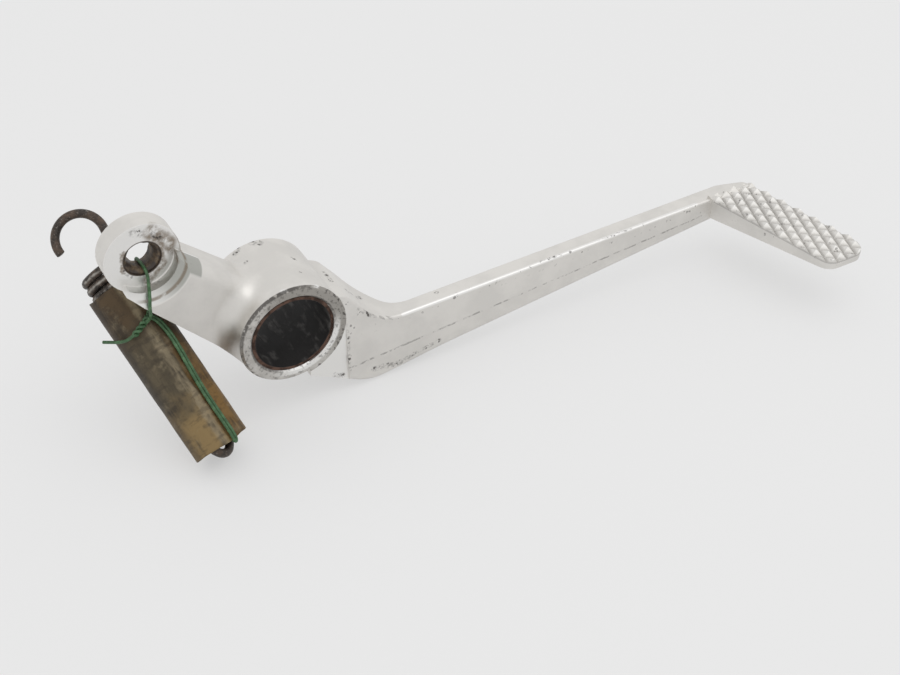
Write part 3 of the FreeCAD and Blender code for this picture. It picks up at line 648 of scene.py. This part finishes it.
def sleeve_material(look):
    """Aged clear hose: grey brown, amber on one side, tan at the lower end, stained, with painted shadow of
    the rod arm in dark brown at the upper end and on the right side.
    """
    made, tree, shader, place = new_material("sleeve_stained")
    own = add(tree, "ShaderNodeMapping", {"Vector": place}, vector_type="TEXTURE")
    own.inputs["Location"].default_value = SLEEVE_FOOT * MM
    own.inputs["Rotation"].default_value = spring_axes().to_euler()
    side, out, along = parts_of(tree, own.outputs["Vector"])
    angle = maths(tree, "ARCTAN2", out, side)
    drift = cloud(tree, own.outputs["Vector"], 160.0, 3.0, 0.55)
    wander = maths(tree, "MULTIPLY", maths(tree, "SUBTRACT", drift, 0.5), 1.1)
    angle = maths(tree, "ADD", angle, maths(tree, "MULTIPLY", wander, 0.35))
    level = maths(tree, "ADD", along, maths(tree, "MULTIPLY", wander, 0.012))

    past_crease = fade(tree, angle, math.radians(-70), math.radians(-62))
    right_side = both(tree, past_crease, fade(tree, angle, 2.2, 1.2))
    low_end = ramp(tree, level, 19.0, 8.0)
    amber_run = both(tree, right_side, ramp(tree, level, 38.0, 14.0))
    crease_left = fade(tree, angle, math.radians(-92), math.radians(-80))
    crease = both(tree, crease_left, fade(tree, angle, math.radians(-66), math.radians(-73)))
    stretched = vectors(tree, "MULTIPLY", own.outputs["Vector"], (1.0, 1.0, 0.22))
    runs = cloud(tree, stretched, 520.0, 5.0, 0.65)
    blots = cloud(tree, own.outputs["Vector"], 230.0, 5.0, 0.6)
    rings = vectors(tree, "MULTIPLY", own.outputs["Vector"], (0.35, 0.35, 1.0))
    rings = cloud(tree, rings, 640.0, 4.0, 0.6)
    stain = fade(tree, cloud(tree, own.outputs["Vector"], 130.0, 4.0, 0.6), 0.46, 0.64)

    worn_olive = [channel * 0.62 for channel in look.olive]
    base = blend(tree, fade(tree, runs, 0.36, 0.62), worn_olive, look.olive)
    # Painted shadow of the rod arm: dark brown at the upper end
    base = blend(tree, ramp(tree, level, 33.0, 42.0), base, look.brown)
    base = blend(tree, both(tree, low_end, 0.9), base, look.tan)
    # Painted shadow of the rod arm: dark brown down the right side, with amber over its lower part
    base = blend(tree, both(tree, right_side, 0.6), base, look.brown)
    base = blend(tree, both(tree, amber_run, 0.9), base, look.amber)
    base = blend(tree, both(tree, fade(tree, blots, 0.55, 0.72), 0.55), base, look.pale)
    base = blend(tree, both(tree, crease, fade(tree, runs, 0.3, 0.55), 0.8), base, look.pale)
    base = blend(tree, both(tree, fade(tree, rings, 0.5, 0.66), 0.4), base, look.dirt)
    base = blend(tree, both(tree, stain, fade(tree, runs, 0.4, 0.6), 0.7), base, look.dirt)
    # Darker along the left side of the sleeve, in the dirt colour
    left_dark = both(tree, fade(tree, angle, math.radians(-128), math.radians(-150)), 0.5)
    base = blend(tree, left_dark, base, look.dirt)
    plug(tree, shader.inputs["Base Color"], base)
    plug(tree, shader.inputs["Roughness"], slide(tree, runs, 0.4, 0.65))
    shader.inputs["Specular IOR Level"].default_value = 0.28
    height = maths(tree, "ADD", maths(tree, "MULTIPLY", runs, 0.7), maths(tree, "MULTIPLY", blots, 0.6))
    rough_bump(tree, shader, height, 0.45, 0.4 * MM)
    return made


def tie_material(look):
    """Green coat of the tie wire, a little scuffed."""
    made, tree, shader, place = new_material("tie_wire_green")
    scuff = cloud(tree, place, 700.0, 4.0, 0.6)
    pale = [min(1.0, channel * 1.7 + 0.02) for channel in look.coat]
    base = blend(tree, fade(tree, scuff, 0.42, 0.7), look.coat, pale)
    plug(tree, shader.inputs["Base Color"], base)
    plug(tree, shader.inputs["Roughness"], slide(tree, scuff, 0.35, 0.6))
    rough_bump(tree, shader, scuff, 0.3, 0.1 * MM)
    return made


def finish_node(name, material):
    """Gives a CAD node its material."""
    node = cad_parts[name]
    if not node.material_slots:
        node.data.materials.append(material)
    for item in node.material_slots:
        item.material = material


def new_piece(name, shape, material):
    """Makes a finished bmesh a piece that rides on the pedal."""
    bmesh.ops.recalc_face_normals(shape, faces=shape.faces[:])
    mesh = bpy.data.meshes.new(name)
    shape.to_mesh(mesh)
    shape.free()
    mesh.materials.append(material)
    mesh.shade_smooth()
    piece = bpy.data.objects.new(name, mesh)
    bpy.context.scene.collection.objects.link(piece)
    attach(piece, "root")
    return piece


def open_circle(shape, sides, radius, matrix):
    """A circle's vertices and the edges between them."""
    verts = bmesh.ops.create_circle(shape, segments=sides, radius=radius, matrix=matrix)["verts"]
    return verts + list(dict.fromkeys(edge for vert in verts for edge in vert.link_edges))


def wire_ring(shape, centre, facing, radius, sides=12):
    """A round section of wire at a place, square to a direction."""
    turn = Vector((0, 0, 1)).rotation_difference(Vector(facing)).to_matrix().to_4x4()
    return open_circle(shape, sides, radius, Matrix.Translation(centre) @ turn)


def edges_in(geometry):
    return [item for item in geometry if isinstance(item, bmesh.types.BMEdge)]


def verts_in(geometry):
    return [item for item in geometry if isinstance(item, bmesh.types.BMVert)]


def bend(shape, ring, centre, axis, angle, steps, rise=0.0):
    """Carries a section round an axis, and along it where a rise is given."""
    step = Vector(axis).normalized() * (rise / steps)
    made = bmesh.ops.spin(
        shape, geom=ring, cent=centre, axis=axis, dvec=step, angle=angle, steps=steps, use_duplicate=False
    )
    return made["geom_last"]


def run_to(shape, ring, move):
    """Carries a section straight on."""
    made = bmesh.ops.extrude_edge_only(shape, edges=edges_in(ring))["geom"]
    verts = verts_in(made)
    bmesh.ops.translate(shape, verts=verts, vec=move)
    kept = set(verts)
    return verts + [edge for edge in edges_in(made) if kept.issuperset(edge.verts)]


def close_end(shape, ring):
    bmesh.ops.edgeloop_fill(shape, edges=edges_in(ring))


class PEDAL_OT_casting(bpy.types.Operator):
    """Gives the cast lever its worn satin finish"""

    bl_idname = "pedal.casting"
    bl_label = "Finish casting"

    def execute(self, context):
        finish_node("pedal_casting", casting_material(context.scene.pedal_casting_look))
        return {"FINISHED"}


class PEDAL_OT_bush(bpy.types.Operator):
    """Gives the pivot bush its greasy finish"""

    bl_idname = "pedal.bush"
    bl_label = "Finish bush"

    def execute(self, context):
        finish_node("pivot_bush", bush_material(context.scene.pedal_bush_look))
        return {"FINISHED"}


class PEDAL_OT_spring(bpy.types.Operator):
    """Winds the return spring with its hook and loop"""

    bl_idname = "pedal.spring"
    bl_label = "Wind spring"

    def execute(self, context):
        look = context.scene.pedal_spring_look
        radius = look.wire / 2
        shape = bmesh.new()
        self.wind_coil(shape, look, radius)
        self.bend_hook(shape, look, radius)
        self.bend_loop(shape, look, radius)
        bmesh.ops.transform(shape, matrix=spring_place(), verts=shape.verts[:])
        piece = new_piece("spring_wire", shape, spring_material(look))
        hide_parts("return_spring")
        return {"FINISHED"}

    def wind_coil(self, shape, look, radius):
        turns = 18.0 + 5.0 / 6.0
        per_turn = 36
        out = (math.cos(LOOP_TURN), math.sin(LOOP_TURN))
        start = (look.coil_radius * out[0], look.coil_radius * out[1], look.coil_start)
        facing = (-out[1], out[0], 0.0)
        ring = wire_ring(shape, start, facing, radius)
        rise = look.coil_end - look.coil_start
        last = bend(shape, ring, (0, 0, 0), (0, 0, 1), turns * math.tau, round(turns * per_turn), rise)
        close_end(shape, ring)
        close_end(shape, last)

    def bend_hook(self, shape, look, radius):
        elbow = 2.2
        sweep = math.radians(188)
        tip_round = 0.3
        reach = math.hypot(look.coil_radius, look.hook_rise)
        lean = math.atan2(look.hook_rise, look.coil_radius) - math.acos(look.hook_radius / reach)
        level = look.coil_end + look.hook_rise
        ring = wire_ring(shape, (look.coil_radius, -elbow, look.coil_end), (0, 1, 0), radius)
        rise = bend(
            shape, ring, (look.coil_radius, -elbow, look.coil_end + elbow), (1, 0, 0), math.pi / 2, 8
        )
        tangent = Vector((look.hook_radius * math.cos(lean), 0, level - look.hook_radius * math.sin(lean)))
        elbow_top = Vector((look.coil_radius, 0, look.coil_end + elbow))
        leg = run_to(shape, rise, tangent - elbow_top)
        tilt = Matrix.Rotation(lean, 3, "Y")
        bmesh.ops.rotate(shape, verts=verts_in(leg), cent=tangent, matrix=tilt)
        tip = bend(shape, leg, (0, 0, level), (0, -1, 0), sweep + lean, 44)
        close_end(shape, ring)
        close_end(shape, tip)
        bmesh.ops.bevel(
            shape, geom=edges_in(tip), offset=tip_round, segments=2, profile=0.5, affect="EDGES", material=-1
        )

    def bend_loop(self, shape, look, radius):
        tucked = 1.2
        side = Vector((math.cos(LOOP_TURN), math.sin(LOOP_TURN), 0.0))
        square = Vector((0, 0, 1)).cross(side)
        top = look.coil_start + tucked
        ring = wire_ring(shape, side * look.coil_radius + Vector((0, 0, top)), (0, 0, -1), radius)
        down = run_to(shape, ring, (0, 0, look.loop_level - top))
        bow = bend(shape, down, (0, 0, look.loop_level), square, math.pi, 28)
        rise = run_to(shape, bow, (0, 0, top - look.loop_level))
        close_end(shape, ring)
        close_end(shape, rise)


# Wear of the sleeve: its lap's place, sway and fade in radians, dents and ragged ends in millimetres
LAP_PLACE = math.radians(-70.0)
LAP_SWAY = 0.06
LAP_FADE = 1.5
DENT_DEPTH = 0.16
RAGGED_DEPTH = 0.4


class PEDAL_OT_sleeve(bpy.types.Operator):
    """Rolls the lapped sleeve over the spring"""

    bl_idname = "pedal.sleeve"
    bl_label = "Roll sleeve"

    def execute(self, context):
        look = context.scene.pedal_sleeve_look
        span = (SLEEVE_HEAD - SLEEVE_FOOT).length
        steps = 60
        shape = bmesh.new()
        ring = open_circle(shape, 144, look.radius, Matrix.Identity(4))
        for _ in range(steps):
            ring = run_to(shape, ring, (0, 0, span / steps))
        for vert in shape.verts:
            vert.co = self.worn(vert.co, look, span)
        bmesh.ops.recalc_face_normals(shape, faces=shape.faces[:])
        bmesh.ops.solidify(shape, geom=shape.faces[:], thickness=look.wall)
        bmesh.ops.transform(shape, matrix=spring_place(), verts=shape.verts[:])
        piece = new_piece("sleeve_tube", shape, sleeve_material(look))
        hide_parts("spring_sleeve")
        return {"FINISHED"}

    def worn(self, point, look, span):
        """Where a point of the plain tube goes: stepped at the lap, dented, ragged at the ends."""
        angle = math.atan2(point.y, point.x)
        lap_at = LAP_PLACE + LAP_SWAY * math.sin(point.z * 0.14)
        after = (angle - lap_at) % math.tau
        step = look.lap * max(0.0, 1.0 - after / LAP_FADE)
        spot = Vector((math.cos(angle) * 2.2, math.sin(angle) * 2.2, point.z * 0.16))
        dent = DENT_DEPTH * (0.5 + 0.5 * noise.noise(spot))
        far = look.radius - step - dent
        at_end = min(point.z, span - point.z) < 0.01
        ragged = noise.noise(Vector((math.cos(angle) * 1.6, math.sin(angle) * 1.6, 9.0 + point.z)))
        inward = RAGGED_DEPTH * (0.6 + ragged) if at_end else 0.0
        level = point.z + (inward if point.z < span / 2 else -inward)
        return Vector((math.cos(angle) * far, math.sin(angle) * far, level))


# The tie wire's routes, in millimetres: round the eye, along the sleeve, its spare end, the two
# ends of its knot, and how far the second strand lies from the first
TIE_EYE = [
    (-36.0, -0.9, 11.2),
    (-33.6, 2.2, 12.5),
    (-32.6, 6.2, 14.4),
    (-33.0, 8.8, 18.0),
    (-33.4, 8.4, 22.6),
    (-34.0, 6.4, 26.8),
    (-33.9, 2.8, 27.3),
    (-33.7, -0.3, 26.9),
    (-33.7, -1.3, 24.7),
    (-34.0, -1.6, 22.8),
    (-34.9, -4.6, 22.2),
    (-35.7, -5.7, 19.0),
    (-35.6, -5.2, 16.4),
    (-35.2, -2.8, 13.4),
    (-36.2, -1.2, 11.0),
]
TIE_RUN = [
    (-35.0, 0.6, 11.7),
    (-33.4, 0.6, 11.0),
    (-31.8, -0.6, 9.3),
    (-30.4, -3.4, 6.5),
    (-29.5, -7.0, 3.3),
    (-28.6, -11.8, -0.8),
    (-27.5, -16.8, -5.1),
    (-26.1, -21.1, -9.0),
    (-24.6, -25.5, -13.1),
    (-24.3, -27.0, -14.7),
    (-24.7, -26.6, -16.2),
    (-25.3, -24.0, -15.4),
]
TIE_SPARE = [
    (-39.6, -1.6, 8.9),
    (-41.4, -1.2, 7.4),
    (-43.2, 0.6, 6.0),
    (-45.0, 2.6, 5.3),
    (-46.8, 4.2, 4.9),
]
TIE_KNOT = ((-34.6, 0.0, 12.0), (-39.9, -1.8, 8.7))
TIE_PAIR = Vector((-0.78, -0.36, 0.13))


class PEDAL_OT_tie(bpy.types.Operator):
    """Ties the spring to the rod eye with coated wire"""

    bl_idname = "pedal.tie"
    bl_label = "Tie spring"

    def execute(self, context):
        look = context.scene.pedal_tie_look
        material = tie_material(look)
        shape = bmesh.new()
        second = [Vector(point) + TIE_PAIR for point in TIE_RUN[:-2]]
        for name, route in (("eye", TIE_EYE), ("run", TIE_RUN), ("pair", second), ("spare", TIE_SPARE)):
            self.lay(shape, name, route, look.wire)
        self.twist(shape, look.wire)
        bmesh.ops.scale(shape, vec=(MM, MM, MM), verts=shape.verts[:])
        new_piece("tie_wire", shape, material)
        return {"FINISHED"}

    def lay(self, shape, name, route, wire):
        """One smooth run of wire along a route, added to the shape."""
        curve = bpy.data.curves.new("tie_" + name, "CURVE")
        curve.dimensions = "3D"
        curve.resolution_u = 8
        curve.bevel_depth = wire / 2
        curve.bevel_resolution = 4
        curve.use_fill_caps = True
        spline = curve.splines.new("NURBS")
        spline.points.add(len(route) - 1)
        for point, place in zip(spline.points, route):
            point.co = (*place, 1.0)
        spline.order_u = 3
        spline.use_endpoint_u = True
        holder = bpy.data.objects.new("tie_" + name, curve)
        mesh = bpy.data.meshes.new_from_object(holder)
        shape.from_mesh(mesh)
        bpy.data.objects.remove(holder)
        bpy.data.curves.remove(curve)
        bpy.data.meshes.remove(mesh)

    def twist(self, shape, wire):
        """The knot: two wires wound round each other."""
        start, end = (Vector(point) for point in TIE_KNOT)
        along = (end - start).normalized()
        side = along.orthogonal().normalized()
        span = (end - start).length
        angle = 2.25 * math.tau
        apart = wire * 0.56
        for sign in (1.0, -1.0):
            out = side * (sign * apart)
            facing = along + along.cross(out) * (angle / span)
            ring = wire_ring(shape, start + out, facing, wire / 2, 10)
            last = bend(shape, ring, start, along, angle, 54, span)
            close_end(shape, ring)
            close_end(shape, last)


def grease_material(look):
    """Thick dark grease, uneven and a little shiny."""
    made, tree, shader, place = new_material("hole_grease_dark")
    lumps = cloud(tree, place, 520.0, 4.0, 0.6)
    base = blend(tree, fade(tree, lumps, 0.4, 0.68), look.sludge, look.grease)
    plug(tree, shader.inputs["Base Color"], base)
    plug(tree, shader.inputs["Roughness"], slide(tree, lumps, 0.35, 0.6))
    rough_bump(tree, shader, lumps, 0.5, 0.3 * MM)
    return made


# The lining of grease in the rod hole, in millimetres: where it starts along the hole, its outer radius,
# and its steps along the hole with the radius that each ends at; then how lumpy it is, as a share
LINING_START = 0.35
LINING_OUTER = 4.97
LINING_STEPS = [(0.5, 4.5), (0.9, 3.95), (3.4, 3.85), (0.5, 4.3), (0.05, 4.97)]
LINING_LUMPS = 0.45


class PEDAL_OT_grease(bpy.types.Operator):
    """Lines the rod hole with old grease"""

    bl_idname = "pedal.grease"
    bl_label = "Line rod hole"

    def execute(self, context):
        look = context.scene.pedal_casting_look
        shape = bmesh.new()
        start = Matrix.Translation(EYE + Vector((0.0, LINING_START, 0.0)))
        turn = Matrix.Rotation(math.radians(-90.0), 4, "X")
        first = open_circle(shape, 72, LINING_OUTER, start @ turn)
        middle = Matrix.Translation(-EYE)
        ring = first
        for depth, radius in LINING_STEPS:
            scale = radius / self.far(verts_in(ring)[0].co)
            ring = run_to(shape, ring, (0.0, depth, 0.0))
            bmesh.ops.scale(shape, vec=(scale, 1.0, scale), space=middle, verts=verts_in(ring))
        bmesh.ops.bridge_loops(shape, edges=edges_in(first) + edges_in(ring))
        for vert in shape.verts:
            vert.co = self.uneven(vert.co)
        bmesh.ops.scale(shape, vec=(MM, MM, MM), verts=shape.verts[:])
        new_piece("hole_grease", shape, grease_material(look))
        return {"FINISHED"}

    def far(self, point):
        """How far a point lies from the middle line of the rod hole."""
        return math.hypot(point.x - EYE.x, point.z - EYE.z)

    def uneven(self, point):
        """Moves a point of the lining in or out a little, but never into the wall."""
        offset = point - EYE
        far = self.far(point)
        lump = 0.5 + noise.noise(point * 0.55)
        inward = 1.0 - LINING_LUMPS * lump * (LINING_OUTER - far) / far
        return EYE + Vector((offset.x * inward, offset.y, offset.z * inward))


# The stage, in metres: the floor, the lamp, and what the lamp points at
FLOOR_MIDDLE = 0.05
FLOOR_DROP = 0.0001
FLOOR_SIZE = 4.0
LAMP_SIZE = (1.1, 0.8)
LAMP_PLACE = (0.2, -0.25, 1.0)
LAMP_AIM = Vector((0.05, 0.0, 0.0))

# The camera: its turn and rise, its place back, right and up in that view in millimetres, its lens
# and sensor in millimetres, and its upward shift as a share of the picture's width
CAMERA_TURN = math.radians(-29.668)
CAMERA_RISE = math.radians(39.509)
CAMERA_BACK = 410.08
CAMERA_RIGHT = 47.915
CAMERA_UP = 2.418
CAMERA_LENS = 60.0
CAMERA_SENSOR = 36.0
CAMERA_SHIFT = -37.5 / 900.0


class PEDAL_OT_stage(bpy.types.Operator):
    """Sets the floor, the light and the camera"""

    bl_idname = "pedal.stage"
    bl_label = "Set stage"

    def execute(self, context):
        look = context.scene.pedal_stage_look
        self.lay_floor(context, look)
        self.light(context, look)
        self.aim_camera(context)
        context.scene.view_settings.view_transform = "Standard"
        return {"FINISHED"}

    def lay_floor(self, context, look):
        shape = bmesh.new()
        level = Matrix.Translation((FLOOR_MIDDLE, 0.0, CAD_BOX[0][2] - FLOOR_DROP))
        bmesh.ops.create_grid(shape, x_segments=1, y_segments=1, size=FLOOR_SIZE, matrix=level)
        mesh = bpy.data.meshes.new("floor")
        shape.to_mesh(mesh)
        shape.free()
        made = bpy.data.materials.new("floor_pale")
        made.use_nodes = True
        tree = made.node_tree
        shader = tree.nodes["Principled BSDF"]
        shader.inputs["Base Color"].default_value = (*look.floor, 1.0)
        shader.inputs["Roughness"].default_value = 0.8
        shader.inputs["Specular IOR Level"].default_value = 0.1
        path = tree.nodes.new("ShaderNodeLightPath")
        seen = maths(tree, "MAXIMUM", path.outputs["Is Camera Ray"], path.outputs["Is Glossy Ray"])
        plain = add(tree, "ShaderNodeEmission", {"Color": look.floor, "Strength": 1.0})
        share = maths(tree, "MULTIPLY", seen, look.glow)
        mixed = add(tree, "ShaderNodeMixShader", {0: share, 1: shader.outputs[0], 2: plain.outputs[0]})
        tree.links.new(mixed.outputs[0], tree.nodes["Material Output"].inputs["Surface"])
        mesh.materials.append(made)
        floor = bpy.data.objects.new("floor", mesh)
        context.scene.collection.objects.link(floor)

    def light(self, context, look):
        world = bpy.data.worlds.new("studio")
        world.use_nodes = True
        ground = world.node_tree.nodes["Background"]
        ground.inputs["Color"].default_value = (1.0, 1.0, 1.0, 1.0)
        ground.inputs["Strength"].default_value = look.world
        context.scene.world = world
        lamp = bpy.data.lights.new("soft_lamp", "AREA")
        lamp.shape = "RECTANGLE"
        lamp.size, lamp.size_y = LAMP_SIZE
        lamp.energy = look.lamp
        holder = bpy.data.objects.new("soft_lamp", lamp)
        holder.location = LAMP_PLACE
        towards = LAMP_AIM - holder.location
        holder.rotation_euler = towards.to_track_quat("-Z", "Y").to_euler()
        context.scene.collection.objects.link(holder)

    def aim_camera(self, context):
        """Looks at the pedal from the photograph's view."""
        right = Vector((math.cos(CAMERA_TURN), math.sin(CAMERA_TURN), 0.0))
        level = math.cos(CAMERA_RISE)
        back = Vector((right.y * level, -right.x * level, math.sin(CAMERA_RISE)))
        top = back.cross(right)
        spot = (back * CAMERA_BACK + right * CAMERA_RIGHT + top * CAMERA_UP) * MM
        lens = bpy.data.cameras.new("camera")
        lens.lens = CAMERA_LENS
        lens.sensor_width = CAMERA_SENSOR
        lens.shift_y = CAMERA_SHIFT
        lens.clip_start = 0.01
        holder = bpy.data.objects.new("camera", lens)
        holder.matrix_world = Matrix.Translation(spot) @ Matrix((right, top, back)).transposed().to_4x4()
        context.scene.collection.objects.link(holder)
        context.scene.camera = holder


class PEDAL_PT_panel(bpy.types.Panel):
    """Lists the pedal's steps and their settings"""

    bl_idname = "PEDAL_PT_panel"
    bl_label = "Brake pedal"
    bl_space_type = "VIEW_3D"
    bl_region_type = "UI"
    bl_category = "Brake pedal"

    def draw(self, context):
        for operator in OPERATORS:
            self.layout.operator(operator.bl_idname)
        for name in LOOKS:
            box = self.layout.box()
            settings = getattr(context.scene, name)
            for prop in settings.bl_rna.properties:
                if prop.identifier not in ("rna_type", "name"):
                    box.prop(settings, prop.identifier)


LOOKS = {
    "pedal_casting_look": CastingLook,
    "pedal_bush_look": BushLook,
    "pedal_spring_look": SpringLook,
    "pedal_sleeve_look": SleeveLook,
    "pedal_tie_look": TieLook,
    "pedal_stage_look": StageLook,
}
OPERATORS = (
    PEDAL_OT_casting,
    PEDAL_OT_bush,
    PEDAL_OT_spring,
    PEDAL_OT_sleeve,
    PEDAL_OT_tie,
    PEDAL_OT_grease,
    PEDAL_OT_stage,
)


def register():
    for name, look in LOOKS.items():
        bpy.utils.register_class(look)
        setattr(bpy.types.Scene, name, bpy.props.PointerProperty(type=look))
    for item in (*OPERATORS, PEDAL_PT_panel):
        bpy.utils.register_class(item)


def unregister():
    for item in (PEDAL_PT_panel, *reversed(OPERATORS)):
        bpy.utils.unregister_class(item)
    for name, look in LOOKS.items():
        delattr(bpy.types.Scene, name)
        bpy.utils.unregister_class(look)


def main():
    register()
    bpy.ops.pedal.casting()
    bpy.ops.pedal.bush()
    bpy.ops.pedal.spring()
    bpy.ops.pedal.sleeve()
    bpy.ops.pedal.tie()
    bpy.ops.pedal.grease()
    bpy.ops.pedal.stage()


if __name__ == "__main__":
    main()
